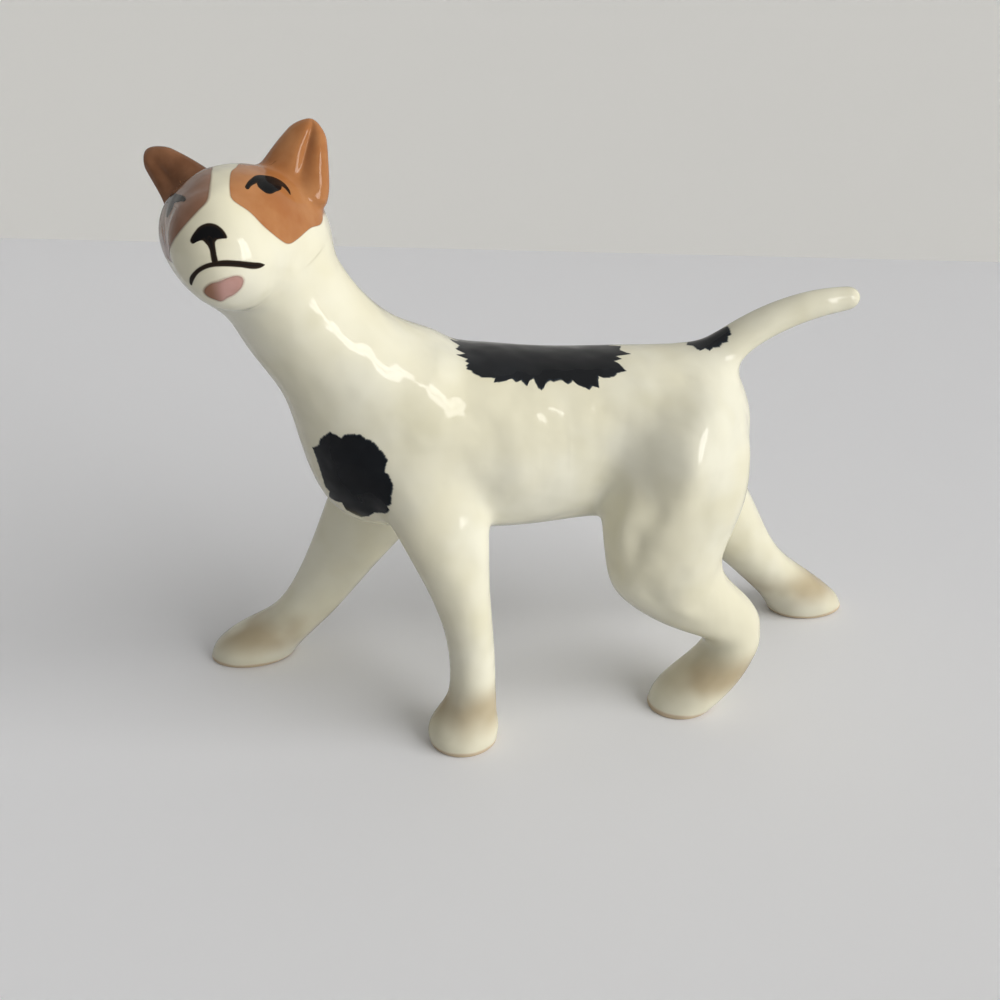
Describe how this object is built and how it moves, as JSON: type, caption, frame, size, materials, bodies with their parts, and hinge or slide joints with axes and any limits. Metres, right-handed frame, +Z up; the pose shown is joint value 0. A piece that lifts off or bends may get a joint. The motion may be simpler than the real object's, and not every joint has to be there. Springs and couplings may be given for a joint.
{
  "type": "dog figurine",
  "caption": "Glazed slip-cast ceramic dog that stands on spread legs with its head turned, its ears up and its tail held out, with painted patches and face.",
  "frame": {"origin": "on the ground under the middle of the figurine's box", "axes": "+X from the breast towards the tail, +Y to the dog's right side, +Z up"},
  "size_m": [0.1536, 0.052, 0.1218],
  "materials": {
    "ivory_glaze": "glossy clear glaze over a cream body",
    "tan_underglaze": "brushed orange-tan underglaze under a glossy glaze",
    "black_underglaze": "brushed black underglaze under a glossy glaze",
    "mauve_underglaze": "thin pink-mauve underglaze under a glossy glaze"
  },
  "bodies": {
    "root": {"torso": "ivory_glaze", "head": "ivory_glaze", "ear_left": "tan_underglaze", "ear_right": "tan_underglaze", "front_leg_left": "ivory_glaze", "front_leg_right": "ivory_glaze", "hind_leg_left": "ivory_glaze", "hind_leg_right": "ivory_glaze", "tail": "ivory_glaze", "back_patch": "black_underglaze", "chest_patch": "black_underglaze", "tail_patch": "black_underglaze", "mask_left": "tan_underglaze", "mask_right": "tan_underglaze", "eye_left": "black_underglaze", "eye_right": "black_underglaze", "nose": "black_underglaze", "mouth_line": "black_underglaze", "lip_spot": "mauve_underglaze"}
  },
  "joints": []
}
